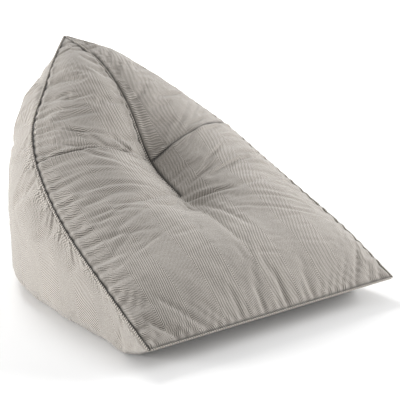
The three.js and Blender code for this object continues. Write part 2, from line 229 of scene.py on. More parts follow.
# ---- Cloth -------------------------------------------------------------------------------------------
def pad_out(patches, held):
    """Blows the closed bag up between its held seams. patches and held are grids of points and flags."""
    points = np.concatenate([p.reshape(-1, 3) for p in patches])
    flags = np.concatenate([h.ravel() for h in held])
    _, first, index = np.unique(np.round(points, 5), axis=0, return_index=True, return_inverse=True)
    index = index.ravel()
    welded = points[first]
    pinned = np.zeros(len(welded), bool)
    np.logical_or.at(pinned, index, flags)
    faces = []
    start = 0
    for p in patches:
        flip = np.cross(p[1, 1] - p[1, 0], p[2, 0] - p[1, 0]) @ (p[1, 1] - np.array((0, 0.6, 0.2))) < 0
        for quad in index[quads(p.shape[0] - 1, p.shape[1] - 1) + start]:
            corners = list(dict.fromkeys(quad.tolist()))
            if len(corners) > 2:
                faces.append(corners[::-1] if flip else corners)
        start += p.shape[0] * p.shape[1]
    mesh = bpy.data.meshes.new("bag_sim")
    mesh.from_pydata(welded.tolist(), [], faces)
    bag = bpy.data.objects.new("bag_sim", mesh)
    bpy.context.scene.collection.objects.link(bag)
    pins = bag.vertex_groups.new(name="pins")
    pins.add(np.flatnonzero(pinned).tolist(), 1.0, "REPLACE")
    cloth = bag.modifiers.new("Cloth", "CLOTH")
    settings = cloth.settings
    settings.quality = 5
    settings.mass = 0.25
    settings.tension_stiffness = 12
    settings.compression_stiffness = 12
    settings.shear_stiffness = 4
    settings.bending_stiffness = 0.35
    settings.vertex_group_mass = "pins"
    settings.use_pressure = True
    settings.uniform_pressure_force = 3.2
    settings.shrink_min = -0.035
    settings.effector_weights.gravity = 0
    cloth.collision_settings.use_collision = False
    cloth.point_cache.frame_start = 1
    cloth.point_cache.frame_end = SIM_FRAMES
    scene = bpy.context.scene
    for number in range(1, SIM_FRAMES + 1):
        scene.frame_set(number)
    shaped = bag.evaluated_get(bpy.context.evaluated_depsgraph_get()).to_mesh()
    moved = np.empty(len(welded) * 3)
    shaped.vertices.foreach_get("co", moved)
    bpy.data.objects.remove(bag)
    bpy.data.meshes.remove(mesh)
    scene.frame_set(1)
    move = moved.reshape(-1, 3) - welded
    length = np.linalg.norm(move, axis=1, keepdims=True)
    result = []
    start = 0
    for p in patches:
        own = index[start:start + p.shape[0] * p.shape[1]]
        cap = WALL_CAP if result else FACE_CAP
        kept = cap * np.tanh(length[own] / cap)
        settled = welded[own] + move[own] * kept / np.maximum(length[own], 1e-9)
        result.append(settled.reshape(p.shape))
        start += p.shape[0] * p.shape[1]
    return result


def cover_patches():
    t, s = grid(ALONG, 2 * ACROSS)
    s = 2 * s - 1
    patches = [face(s, t)]
    held = [(np.abs(s) > 0.999) | (t > 0.999) | (t < 0.05) | ((np.abs(s) < 1e-6) & (t < DART_END + 0.005))]
    wt, wv = grid(ALONG, UP)
    for side in (-1, 1):
        patches.append(wall(side, wt, wv))
        held.append((wv > 0.999) | (wv < 0.001) | (wt < 0.02) | (wt > 0.97))
    for side in (-1, 1):
        share, ft = grid(RINGS, ALONG)
        patches.append(floor_patch(base_rim(side, ft), share))
        held.append(np.ones_like(ft, bool))
    share, fs = grid(RINGS, 2 * ACROSS)
    patches.append(floor_patch(face(2 * fs - 1, np.ones_like(fs)), share))
    held.append(np.ones_like(fs, bool))
    return pad_out(patches, held)


# ---- Folds -------------------------------------------------------------------------------------------
def normals_of(points):
    du = np.gradient(points, axis=0)
    dv = np.gradient(points, axis=1)
    normal = np.cross(du, dv)
    normal /= np.maximum(np.linalg.norm(normal, axis=-1, keepdims=True), 1e-12)
    middle = np.array((0, 0.74, 0.145))
    sign = np.sign(np.sum(normal * (points - middle)))
    return normal * sign


def lumps(points, size, seed):
    offset = Vector((seed * 3.7, seed * 1.3, seed * 2.1))
    flat = points.reshape(-1, 3) / size
    values = np.array([noise.noise(Vector(p) + offset) for p in flat.tolist()])
    return values.reshape(points.shape[:-1])


def distance_to(points, path):
    """Distance from each point of a grid to a polyline, and how far along the polyline that is (0 to 1)."""
    best = np.full(points.shape[:-1], np.inf)
    where = np.zeros(points.shape[:-1])
    count = len(path) - 1
    for k, (a, b) in enumerate(zip(path, path[1:])):
        ab = b - a
        f = np.clip(((points - a) @ ab) / max(ab @ ab, 1e-12), 0, 1)
        d = np.linalg.norm(points - a - f[..., None] * ab, axis=-1)
        nearer = d < best
        best = np.where(nearer, d, best)
        where = np.where(nearer, (k + f) / count, where)
    return best, where


def crease(points, path, depth, width):
    """A fold: a sharp valley along the path with a soft ridge on both sides, fading at its ends."""
    low, high = path.min(0) - 5 * width, path.max(0) + 5 * width
    near = np.all((points > low) & (points < high), axis=-1)
    result = np.zeros(points.shape[:-1])
    if not near.any():
        return result
    d, where = distance_to(points[near], path)
    fade = np.sin(np.pi * np.clip(where, 0, 1)) ** 0.7
    shape = -np.exp(-((d / width) ** 2)) + 0.55 * np.exp(-(((d - 2.1 * width) / (1.3 * width)) ** 2))
    result[near] = depth * fade * shape
    return result


def arc(start, end, sag, steps=14):
    """Bezier in (s, t) from start to end, its middle moved by sag."""
    u = np.linspace(0, 1, steps)[:, None]
    start, end = np.array(start), np.array(end)
    middle = (start + end) / 2 + np.array(sag)
    return (1 - u) ** 2 * start + 2 * u * (1 - u) * middle + u**2 * end


# The larger creases, which radiate from the dart and cross the head: path in (s, t), depth, width.
PLACED_FOLDS = [
    ([(-0.02, 0.645), (0.10, 0.664), (0.38, 0.715)], 0.0085, 0.008),
    ([(0.30, 0.700), (0.48, 0.712), (0.66, 0.700)], 0.0040, 0.010),
    ([(-0.04, 0.650), (-0.04, 0.687), (-0.02, 0.720)], 0.0050, 0.007),
    ([(0.03, 0.670), (0.10, 0.745), (0.20, 0.840)], 0.0034, 0.011),
    ([(-0.05, 0.655), (-0.22, 0.690), (-0.42, 0.700)], 0.0042, 0.010),
    ([(0.62, 0.575), (0.45, 0.590), (0.28, 0.600)], 0.0050, 0.007),
    ([(0.55, 0.640), (0.40, 0.650), (0.24, 0.640)], 0.0030, 0.008),
    ([(-0.90, 0.402), (-0.63, 0.430), (-0.36, 0.440)], 0.0050, 0.006),
    ([(-0.66, 0.247), (-0.54, 0.256), (-0.40, 0.266)], 0.0034, 0.005),
    ([(-0.80, 0.355), (-0.62, 0.364), (-0.44, 0.372)], 0.0040, 0.006),
    ([(-0.77, 0.308), (-0.62, 0.315), (-0.47, 0.323)], 0.0026, 0.006),
    ([(-0.33, 0.440), (-0.25, 0.468), (-0.16, 0.500)], 0.0048, 0.009),
    ([(-0.75, 0.477), (-0.54, 0.535), (-0.28, 0.578)], 0.0034, 0.009),
    ([(-0.93, 0.703), (-0.68, 0.702), (-0.41, 0.713)], 0.0032, 0.008),
    ([(-0.96, 0.770), (-0.72, 0.767), (-0.44, 0.775)], 0.0030, 0.008),
]


def face_folds():
    """Folds of the face as (path in s and t, depth, width)."""
    folds = []
    for side in (-1, 1):
        # Long soft arcs from the side seam towards the dart, which pulls the cloth in.
        for k in range(17):
            t0 = 0.38 + 0.030 * k + rng.uniform(-0.008, 0.008)
            s0 = side * rng.uniform(0.86, 0.98)
            s1 = side * rng.uniform(0.08, 0.45)
            t1 = 0.49 + 0.26 * (t0 - 0.38) / 0.48 + rng.uniform(-0.012, 0.012)
            sag = (0, -0.018 + rng.uniform(-0.012, 0.012))
            folds.append((arc((s0, t0), (s1, t1), sag), rng.uniform(0.0014, 0.0030), rng.uniform(0.006, 0.010)))
        # Slack ripples over the seat, each one short.
        for _ in range(16):
            s0, t0 = side * rng.uniform(0.15, 0.85), rng.uniform(0.66, 0.93)
            end = (s0 - side * rng.uniform(0.12, 0.3), t0 - rng.uniform(0.0, 0.03))
            folds.append((arc((s0, t0), end, (0, rng.uniform(-0.01, 0.01))), rng.uniform(0.0008, 0.0018),
                          rng.uniform(0.005, 0.009)))
        # Short tucks at the side seam.
        for k in range(26):
            t0 = 0.10 + 0.032 * k + rng.uniform(-0.008, 0.008)
            reach = rng.uniform(0.10, 0.22)
            end = (side * (0.985 - reach), t0 + rng.uniform(-0.012, 0.012))
            folds.append((arc((side * 0.995, t0), end, (0, 0.004)), rng.uniform(0.0005, 0.0014),
                          rng.uniform(0.0035, 0.006)))
        # Puckers along the front edge.
        for k in range(9):
            s0 = side * (0.08 + 0.1 * k + rng.uniform(-0.03, 0.03))
            end = (s0 + rng.uniform(-0.02, 0.02), 1 - rng.uniform(0.03, 0.07))
            folds.append((arc((s0, 0.997), end, (0, 0)), rng.uniform(0.0003, 0.0008), 0.005))
        # Folds across the back panel.
        for k in range(5):
            t0 = 0.14 + 0.055 * k + rng.uniform(-0.01, 0.01)
            end = (side * rng.uniform(0.3, 0.5), t0 + 0.02 + rng.uniform(-0.01, 0.015))
            folds.append((arc((side * 0.96, t0), end, (0, 0.008)), rng.uniform(0.001, 0.002), 0.006))
    for path, depth, width in PLACED_FOLDS:
        folds.append((through(path, np.linspace(0, 1, 16)), depth, width))
    return folds


def at_face(points, s, t):
    """Positions on a face grid at the parameters s and t, by nearest-cell interpolation."""
    rows, columns = points.shape[0] - 1, points.shape[1] - 1
    r = np.clip(t * rows, 0, rows - 1e-6)
    c = np.clip((s + 1) / 2 * columns, 0, columns - 1e-6)
    r0, c0 = r.astype(int), c.astype(int)
    fr, fc = (r - r0)[:, None], (c - c0)[:, None]
    top = points[r0, c0] * (1 - fc) + points[r0, c0 + 1] * fc
    low = points[r0 + 1, c0] * (1 - fc) + points[r0 + 1, c0 + 1] * fc
    return top * (1 - fr) + low * fr


def shape_face(points):
    """The finished face grid: finer, with its lumps and folds. The seams stay where they are."""
    left, right = finer(points[:, :ACROSS + 1], FINER), finer(points[:, ACROSS:], FINER)
    creased = np.concatenate([left, right[:, 1:]], 1)
    smooth = finer(points, FINER)
    columns = creased.shape[1] - 1
    t, s = grid(creased.shape[0] - 1, columns)
    s = 2 * s - 1
    # Crease at the centre seam and the dart, smooth below them.
    share = smoothstep(t, DART_END - 0.005, DART_END + 0.03)[..., None]
    points = creased * (1 - share) + smooth * share
    width = np.linalg.norm(points[:, -1] - points[:, columns // 2], axis=-1)[:, None]
    edge = (1 - np.abs(s)) * width
    middle = np.abs(s) * width
    length = np.cumsum(np.linalg.norm(np.diff(points[:, columns // 2], axis=0), axis=-1))
    length = np.concatenate([[0], length])
    front = (length[-1] - length)[:, None]
    cross = np.abs(length - np.interp(CROSS_SEAM, t[:, 0], length))[:, None]
    seamed = np.where(t < DART_END, middle, 1.0)
    hold = 1 - np.exp(-edge / 0.007)
    hold = hold * (1 - np.exp(-front / 0.007)) * (1 - np.exp(-seamed / 0.006)) * smoothstep(t, 0.07, 0.2)
    hollow = np.exp(-(((s + 0.10) / 0.22) ** 2) - ((t - 0.70) / 0.035) ** 2)
    lift = -0.010 * hollow + 0.0040 * lumps(points, 0.16, 1) + 0.0016 * lumps(points, 0.06, 2)
    lift += 0.0007 * lumps(points, 0.025, 3)
    for path, depth, fold_width in face_folds():
        lift += crease(points, at_face(points, path[:, 0], path[:, 1]), depth, fold_width)
    # Seams pull in, and the cloth stands up round beside them.
    lift += 0.0030 * np.exp(-(((edge - 0.016) / 0.010) ** 2))
    lift += 0.0030 * np.exp(-(((front - 0.016) / 0.010) ** 2))
    lift += 0.0035 * np.exp(-(((seamed - 0.015) / 0.009) ** 2))
    lift -= 0.0048 * np.exp(-((cross / 0.0042) ** 2))
    lift += 0.0030 * np.exp(-(((cross - 0.013) / 0.008) ** 2))
    flat = cloth_uv(points, columns // 2)
    points = points + (lift * hold)[..., None] * normals_of(points)
    # Painted shade: how dark the cloth is painted along each seam's groove, standing in for the shadow there;
    # much stronger at the left side seam than at the right, and stronger on the right of the cross seam.
    shade = deepest([(0.6 - 0.4 * np.sign(s)) * groove(edge - 0.003, 0.0048),
                     groove(seamed - 0.004, 0.005),
                     (0.4 + 0.6 * smoothstep(s, -0.02, 0.04)) * groove(cross, 0.0055),
                     0.8 * groove(front - 0.003, 0.006)])
    return points, flat, shade


def deepest(layers):
    """The largest of several arrays at each point."""
    return np.max(np.broadcast_arrays(*layers), axis=0)


def groove(distance, width):
    """How deep in a seam's groove a point is, from 0 to 1."""
    return np.exp(-((distance / width) ** 2))


def shape_wall(points, side):
    """The finished grid of a side panel, in the same way."""
    points = finer(points, FINER)
    t, v = grid(points.shape[0] - 1, points.shape[1] - 1)
    height = np.linalg.norm(np.diff(points, axis=1), axis=-1).sum(1)[:, None]
    top = (1 - v) * height
    foot = v * height
    back = np.abs(points[..., 0])
    hold = (1 - np.exp(-top / 0.007)) * (1 - np.exp(-foot / 0.007)) * (1 - np.exp(-back / 0.006))
    hold = hold * (1 - smoothstep(t, 0.985, 1))
    seed = 10 + side
    lift = 0.0045 * lumps(points, 0.17, seed) + 0.0018 * lumps(points, 0.06, seed + 3)
    lift += 0.0007 * lumps(points, 0.025, seed + 6)
    for _ in range(30):
        # Tucks down from the side seam, leaning back as the cloth is pulled to the corner.
        k = rng.uniform(0.12, 0.92)
        path = arc((k, 0.99), (k - rng.uniform(0.01, 0.05), 1 - rng.uniform(0.1, 0.3)), (0, 0))
        lift += crease(points, at_face(points, 2 * path[:, 1] - 1, path[:, 0]), rng.uniform(0.0014, 0.0032),
                       rng.uniform(0.004, 0.007))
    for _ in range(16):
        # Gathers up from the base seam.
        k = rng.uniform(0.04, 0.9)
        path = arc((k, 0.01), (k + rng.uniform(-0.02, 0.02), rng.uniform(0.08, 0.2)), (0, 0))
        lift += crease(points, at_face(points, 2 * path[:, 1] - 1, path[:, 0]), rng.uniform(0.001, 0.0024),
                       rng.uniform(0.005, 0.008))
    for _ in range(9):
        # Slack folds round the back, where the bag settles on itself.
        k = rng.uniform(0.08, 0.5)
        rise = rng.uniform(0.25, 0.8)
        path = arc((k, rise), (k + rng.uniform(0.08, 0.16), rise - rng.uniform(0.05, 0.2)), (0, -0.03))
        lift += crease(points, at_face(points, 2 * path[:, 1] - 1, path[:, 0]), rng.uniform(0.0012, 0.0026),
                       rng.uniform(0.009, 0.014))
    lift += 0.0030 * np.exp(-(((top - 0.016) / 0.010) ** 2))
    lift += 0.0030 * np.exp(-(((foot - 0.016) / 0.010) ** 2))
    lift += 0.0030 * np.exp(-(((back - 0.015) / 0.009) ** 2))
    flat = cloth_uv(points.swapaxes(0, 1), 0, from_end=False).swapaxes(0, 1)
    points = points + (lift * hold)[..., None] * normals_of(points)
    points[..., 2] = np.maximum(points[..., 2], 0.0005)
    # Painted shade along the grooves of the side panel's top, base and back seams, standing in for the shadow
    # there.
    shade = deepest([0.35 * groove(top - 0.006, 0.004), 0.5 * groove(foot, 0.005), 0.7 * groove(back, 0.004)])
    return points, flat, shade


def slot_width(points, zip_name, half, margin):
    """Half width of the slot for a zip, at the height of each point."""
    z = points[..., 2] + EDGE_Z - EDGE_LIFT
    low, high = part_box(f"{zip_name}_stop_bottom")[0][2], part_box(f"{zip_name}_stop_top")[1][2]
    return half * (smoothstep(z, low - margin - 0.01, low - margin)
                   - smoothstep(z, high + margin, high + margin + 0.01))


# ---- Meshes ------------------------------------------------------------------------------------------
def to_object(name, points, faces, uvs=None):
    mesh = bpy.data.meshes.new(name)
    mesh.from_pydata(np.asarray(points).reshape(-1, 3).tolist(), [], np.asarray(faces).tolist())
    if uvs is not None:
        layer = mesh.uv_layers.new(name="cloth")
        loops = np.empty(len(mesh.loops), int)
        mesh.loops.foreach_get("vertex_index", loops)
        layer.data.foreach_set("uv", np.asarray(uvs).reshape(-1, 2)[loops].ravel())
    mesh.polygons.foreach_set("use_smooth", [True] * len(mesh.polygons))
    piece = bpy.data.objects.new(name, mesh)
    bpy.context.scene.collection.objects.link(piece)
    return piece


def sheet_object(name, points, uvs, shade, material):
    """A grid as a panel of cloth. shade is how dark each point is painted, standing in for the shadow in a
    seam's groove; it is stored as the seam attribute.
    """
    rows, columns = points.shape[0] - 1, points.shape[1] - 1
    faces = quads(rows, columns)
    a, b, c = (points[rows // 2, columns // 2], points[rows // 2, columns // 2 + 1],
               points[rows // 2 + 1, columns // 2])
    if np.cross(b - a, c - a) @ normals_of(points)[rows // 2, columns // 2] < 0:
        faces = faces[:, ::-1]
    piece = to_object(name, row_frame(points), faces, uvs)
    layer = piece.data.attributes.new("seam", "FLOAT", "POINT")
    layer.data.foreach_set("value", shade.ravel())
    piece.data.materials.append(material)
    return piece


def cloth_uv(points, across_zero, from_end=True):
    """Flat coordinates in metres: distance across from a column, and distance along the columns."""
    steps = np.linalg.norm(np.diff(points, axis=1), axis=-1)
    across = np.concatenate([np.zeros((len(points), 1)), np.cumsum(steps, 1)], 1)
    across = across - across[:, across_zero][:, None]
    steps = np.linalg.norm(np.diff(points, axis=0), axis=-1)
    along = np.concatenate([np.zeros((1, points.shape[1])), np.cumsum(steps, 0)], 0)
    if from_end:
        along = along[-1:] - along
    return np.stack([across, along], -1)


def tube(name, path, radius, material, sides=12):
    """A round cord along a path, closed at both ends."""
    along = np.gradient(path, axis=0)
    along /= np.linalg.norm(along, axis=1, keepdims=True)
    up = np.cross(along, (0.0, 0.0, 1.0))
    weak = np.linalg.norm(up, axis=1) < 0.05
    up[weak] = (1, 0, 0)
    up /= np.linalg.norm(up, axis=1, keepdims=True)
    over = np.cross(up, along)
    angle = np.linspace(0, 2 * np.pi, sides, endpoint=False)
    radius = np.broadcast_to(radius, len(path))[:, None, None]
    ring = np.cos(angle)[None, :, None] * up[:, None] + np.sin(angle)[None, :, None] * over[:, None]
    points = (path[:, None] + radius * ring).reshape(-1, 3)
    faces = []
    for i in range(len(path) - 1):
        for j in range(sides):
            k = (j + 1) % sides
            faces.append([i * sides + j, i * sides + k, (i + 1) * sides + k, (i + 1) * sides + j])
    last = (len(path) - 1) * sides
    faces.append(list(range(sides))[::-1])
    faces.append([last + j for j in range(sides)])
    mesh = bpy.data.meshes.new(name)
    mesh.from_pydata(row_frame(points).tolist(), [], faces)
    layer = mesh.uv_layers.new(name="cloth")
    length = np.concatenate([[0], np.cumsum(np.linalg.norm(np.diff(path, axis=0), axis=1))])
    girth = 2 * np.pi * float(np.mean(radius)) / sides
    for polygon in mesh.polygons:
        seam = len(polygon.vertices) == 4
        wraps = seam and max(v % sides for v in polygon.vertices) - min(v % sides for v in polygon.vertices) > 1
        for loop in polygon.loop_indices:
            v = mesh.loops[loop].vertex_index
            j = v % sides
            if wraps and j == 0:
                j = sides
            layer.data[loop].uv = (j * girth, length[v // sides])
        polygon.use_smooth = True
    piece = bpy.data.objects.new(name, mesh)
    bpy.context.scene.collection.objects.link(piece)
    mesh.materials.append(material)
    return piece


# ---- Materials ---------------------------------------------------------------------------------------
class Graph:
    """A material with short calls for its nodes."""

    def __init__(self, name):
        self.material = bpy.data.materials.new(name)
        self.material.use_nodes = True
        self.tree = self.material.node_tree
        self.shader = self.tree.nodes["Principled BSDF"]

    def node(self, kind, **values):
        node = self.tree.nodes.new(kind)
        for key, value in values.items():
            setattr(node, key, value)
        return node

    def link(self, source, target):
        self.tree.links.new(source, target)

    def math(self, operation, a, b=0.0):
        node = self.node("ShaderNodeMath", operation=operation)
        for socket, value in zip(node.inputs, (a, b)):
            if isinstance(value, (int, float)):
                socket.default_value = value
            else:
                self.link(value, socket)
        return node.outputs[0]

    def uv(self):
        node = self.node("ShaderNodeUVMap", uv_map="cloth")
        split = self.node("ShaderNodeSeparateXYZ")
        self.link(node.outputs[0], split.inputs[0])
        return split.outputs[0], split.outputs[1]

    def place(self):
        return self.node("ShaderNodeTexCoord").outputs["Object"]

    def noise(self, vector, scale, detail=3.0, roughness=0.55):
        node = self.node("ShaderNodeTexNoise")
        node.inputs["Scale"].default_value = scale
        node.inputs["Detail"].default_value = detail
        node.inputs["Roughness"].default_value = roughness
        self.link(vector, node.inputs["Vector"])
        return node.outputs[0]

    def combine(self, x, y, z=0.0):
        node = self.node("ShaderNodeCombineXYZ")
        for socket, value in zip(node.inputs, (x, y, z)):
            if isinstance(value, (int, float)):
                socket.default_value = value
            else:
                self.link(value, socket)
        return node.outputs[0]

    def ramp(self, value, low, high, out_low=0.0, out_high=1.0):
        node = self.node("ShaderNodeMapRange", interpolation_type="SMOOTHSTEP")
        for socket, number in zip(node.inputs[1:5], (low, high, out_low, out_high)):
            socket.default_value = number
        self.link(value, node.inputs[0])
        return node.outputs[0]

    def mix(self, factor, a, b):
        node = self.node("ShaderNodeMix", data_type="RGBA")
        self.link(factor, node.inputs[0])
        for socket, value in ((node.inputs[6], a), (node.inputs[7], b)):
            if isinstance(value, tuple):
                socket.default_value = (*value, 1)
            else:
                self.link(value, socket)
        return node.outputs[2]

    def shade(self, colour, amount):
        """The colour brightened or darkened by a number round 1."""
        node = self.node("ShaderNodeHueSaturation")
        self.link(amount, node.inputs["Value"])
        self.link(colour, node.inputs["Color"])
        return node.outputs[0]

    def bump(self, height, distance, strength=1.0, below=None):
        node = self.node("ShaderNodeBump")
        node.inputs["Strength"].default_value = strength
        node.inputs["Distance"].default_value = distance
        self.link(height, node.inputs["Height"])
        if below is not None:
            self.link(below, node.inputs["Normal"])
        return node.outputs[0]

    def finish(self, colour, normal=None, roughness=0.9, **constants):
        self.link(colour, self.shader.inputs["Base Color"])
        if normal is not None:
            self.link(normal, self.shader.inputs["Normal"])
        if isinstance(roughness, (int, float)):
            self.shader.inputs["Roughness"].default_value = roughness
        else:
            self.link(roughness, self.shader.inputs["Roughness"])
        for key, value in constants.items():
            self.shader.inputs[key.replace("_", " ")].default_value = value
        return self.material


def herringbone(name, light, dark, column=0.105, pitch=0.0070, turn=0.0):
    """Herringbone twill: diagonal ribs that change direction at every column, darkened with painted shade where
    the seam attribute marks a groove.
    """
    g = Graph(name)
    u, v = g.uv()
    if turn:
        turned = g.math("ADD", g.math("MULTIPLY", u, math.cos(turn)), g.math("MULTIPLY", v, math.sin(turn)))
        v = g.math("SUBTRACT", g.math("MULTIPLY", v, math.cos(turn)), g.math("MULTIPLY", u, math.sin(turn)))
        u = turned
    place = g.place()
    wander = g.math("MULTIPLY", g.math("SUBTRACT", g.noise(place, 9.0, 2.0), 0.5), 0.006)
    u = g.math("ADD", u, wander)
    cell = g.math("DIVIDE", u, column)
    index = g.math("FLOOR", cell)
    side = g.math("SUBTRACT", g.math("MULTIPLY", g.math("FLOORED_MODULO", index, 2.0), 2.0), 1.0)
    inside = g.math("MULTIPLY", g.math("SUBTRACT", g.math("FRACT", cell), 0.5), column)
    phase = g.math("DIVIDE", g.math("ADD", v, g.math("MULTIPLY", side, inside)), pitch)
    wave = g.math("ABSOLUTE", g.math("SUBTRACT", g.math("FRACT", phase), 0.5))
    rib = g.ramp(wave, 0.10, 0.36)
    along = g.math("SUBTRACT", v, g.math("MULTIPLY", side, inside))
    yarn = g.noise(g.combine(phase, g.math("MULTIPLY", along, 260.0)), 1.0, 2.0)
    fibre = g.noise(g.combine(g.math("MULTIPLY", u, 900.0), g.math("MULTIPLY", v, 900.0)), 1.0, 3.0, 0.7)
    mottle = g.noise(place, 5.0, 4.0, 0.6)
    colour = g.mix(rib, dark, light)
    worn = g.math("ADD", g.math("MULTIPLY", yarn, 1.1), g.math("MULTIPLY", fibre, 0.5))
    worn = g.math("ADD", worn, g.math("MULTIPLY", mottle, 0.3))
    # Painted shade: the seam attribute darkens the colour by up to 88 percent in the seams' grooves, standing
    # in for their shadow.
    seam = g.node("ShaderNodeAttribute", attribute_name="seam").outputs["Fac"]
    colour = g.shade(colour, g.math("ADD", worn, 0.05))
    colour = g.shade(colour, g.math("SUBTRACT", 1.0, g.math("MULTIPLY", seam, 0.88)))
    height = g.math("ADD", rib, g.math("MULTIPLY", fibre, 0.5))
    normal = g.bump(height, 0.0005, 0.8, g.bump(g.noise(place, 38.0, 3.0), 0.003, 0.5))
    rough = g.ramp(fibre, 0.3, 0.7, 0.86, 0.98)
    return g.finish(colour, normal, rough, Sheen_Weight=0.25, Sheen_Roughness=0.6, Specular_IOR_Level=0.25)


def plain_weave(name, light, dark, pitch=0.0022, thread=0.5):
    """Plain weave seen close: warp and weft pass over each other in a chequer."""
    g = Graph(name)
    u, v = g.uv()
    place = g.place()
    across = g.math("SINE", g.math("MULTIPLY", u, 2 * math.pi / pitch))
    along = g.math("SINE", g.math("MULTIPLY", v, 2 * math.pi / pitch))
    over = g.math("ADD", g.math("MULTIPLY", g.math("MULTIPLY", across, along), 0.5), 0.5)
    fibre = g.noise(g.combine(g.math("MULTIPLY", u, 700.0), g.math("MULTIPLY", v, 700.0)), 1.0, 3.0, 0.7)
    colour = g.mix(over, dark, light)
    mottle = g.noise(place, 6.0, 4.0, 0.6)
    worn = g.math("ADD", g.math("MULTIPLY", fibre, thread), g.math("MULTIPLY", mottle, 0.2))
    colour = g.shade(colour, g.math("ADD", worn, 0.9 - thread / 2))
    height = g.math("ADD", over, g.math("MULTIPLY", fibre, 0.6))
    normal = g.bump(height, 0.0004, 0.7, g.bump(g.noise(place, 30.0, 3.0), 0.002, 0.5))
    return g.finish(colour, normal, 0.93, Sheen_Weight=0.2, Sheen_Roughness=0.6, Specular_IOR_Level=0.25)


def piping_cloth(name, light, dark):
    """Bias-cut twill wrapped round a cord: ribs that wind round it."""
    g = Graph(name)
    u, v = g.uv()
    phase = g.math("DIVIDE", g.math("ADD", v, g.math("MULTIPLY", u, 0.6)), 0.0088)
    wave = g.math("ABSOLUTE", g.math("SUBTRACT", g.math("FRACT", phase), 0.5))
    rib = g.ramp(wave, 0.12, 0.34)
    fibre = g.noise(g.combine(g.math("MULTIPLY", u, 900.0), g.math("MULTIPLY", v, 900.0)), 1.0, 3.0, 0.7)
    colour = g.mix(rib, dark, light)
    colour = g.shade(colour, g.math("ADD", g.math("MULTIPLY", fibre, 0.4), 0.8))
    normal = g.bump(g.math("ADD", rib, g.math("MULTIPLY", fibre, 0.5)), 0.0005, 0.8)
    return g.finish(colour, normal, 0.92, Sheen_Weight=0.2, Sheen_Roughness=0.6, Specular_IOR_Level=0.25)


def zip_tape_cloth(name, colour):
    """Narrow woven tape, ribbed across."""
    g = Graph(name)
    place = g.place()
    split = g.node("ShaderNodeSeparateXYZ")
    g.link(place, split.inputs[0])
    rib = g.math("SINE", g.math("MULTIPLY", split.outputs[2], 2 * math.pi / 0.0012))
    rib = g.math("ADD", g.math("MULTIPLY", rib, 0.5), 0.5)
    fibre = g.noise(place, 900.0, 3.0)
    dark = tuple(value * 0.6 for value in colour)
    shaded = g.shade(g.mix(rib, dark, colour), g.math("ADD", g.math("MULTIPLY", fibre, 0.5), 0.75))
    normal = g.bump(g.math("ADD", rib, fibre), 0.0003, 0.8)
    return g.finish(shaded, normal, 0.88, Sheen_Weight=0.15, Specular_IOR_Level=0.3)


def nylon(name, colour):
    g = Graph(name)
    place = g.place()
    scuff = g.noise(place, 600.0, 3.0)
    dark = tuple(value * 0.7 for value in colour)
    normal = g.bump(scuff, 0.0002, 0.4)
    return g.finish(g.mix(scuff, dark, colour), normal, g.ramp(scuff, 0.3, 0.7, 0.38, 0.55))


def worn_metal(name, colour):
    """Gunmetal plating with fine scratches and rubbed, lighter patches."""
    g = Graph(name)
    place = g.place()
    patches = g.noise(place, 350.0, 4.0)
    scratch = g.noise(place, 1800.0)
    rubbed = tuple(min(1.0, value * 1.5) for value in colour)
    shaded = g.mix(g.ramp(patches, 0.45, 0.7), colour, rubbed)
    normal = g.bump(scratch, 0.0001, 0.5)
    return g.finish(shaded, normal, g.ramp(patches, 0.3, 0.7, 0.28, 0.5), Metallic=0.9)


def bead_material(name):
    """Polystyrene beads packed against each other."""
    g = Graph(name)
    place = g.place()
    cells = g.node("ShaderNodeTexVoronoi")
    cells.inputs["Scale"].default_value = 220.0
    g.link(place, cells.inputs["Vector"])
    # Painted shade: the gaps between the beads are painted grey, standing in for the shadow between them; the
    # light colour is the beads' own.
    bead = g.ramp(cells.outputs["Distance"], 0.05, 0.65, 1.0, 0.0)
    colour = g.mix(bead, (0.62, 0.62, 0.6), (0.93, 0.93, 0.915))
    normal = g.bump(bead, 0.002, 0.9)
    return g.finish(colour, normal, 0.75, Specular_IOR_Level=0.3)


def colour_of(slot):
    return tuple(next(m for m in frame["record"]["materials"] if m["slot"] == slot)["base_color"][:3])


def toned(colour, gain):
    return tuple(min(1.0, value * gain) for value in colour)


# ---- Build -------------------------------------------------------------------------------------------
COVER = colour_of("cover_fabric")
twill = herringbone("herringbone", toned(COVER, 1.66), toned(COVER, 0.33))
back_twill = herringbone("herringbone_back", toned(COVER, 1.66), toned(COVER, 0.33), turn=math.radians(8))
side_twill = herringbone("herringbone_side", toned(COVER, 1.66), toned(COVER, 0.33), turn=math.radians(-6))
BASE = colour_of("base_fabric")
base_cloth = plain_weave("base_cloth", toned(BASE, 1.1), toned(BASE, 0.6))
PIPE = colour_of("piping_fabric")
piping_material = piping_cloth("piping_twill", toned(PIPE, 2.0), toned(PIPE, 0.16))
tape_material = zip_tape_cloth("zip_tape", colour_of("zip_tape"))
teeth_material = nylon("zip_nylon", colour_of("zip_teeth"))
metal_material = worn_metal("zip_metal", colour_of("zip_metal"))
LINER = colour_of("liner_fabric")
liner_material = plain_weave("liner_cloth", toned(LINER, 1.05), toned(LINER, 0.8), pitch=0.003, thread=0.25)
beads_material = bead_material("beads")

cover = cover_patches()
rough_face, *rough_walls = cover[:3]
face_points, face_uv, face_shade = shape_face(rough_face)
face_rows, face_columns = face_points.shape[0] - 1, face_points.shape[1] - 1
cross_row = round(CROSS_SEAM * face_rows)
middle_column = face_columns // 2

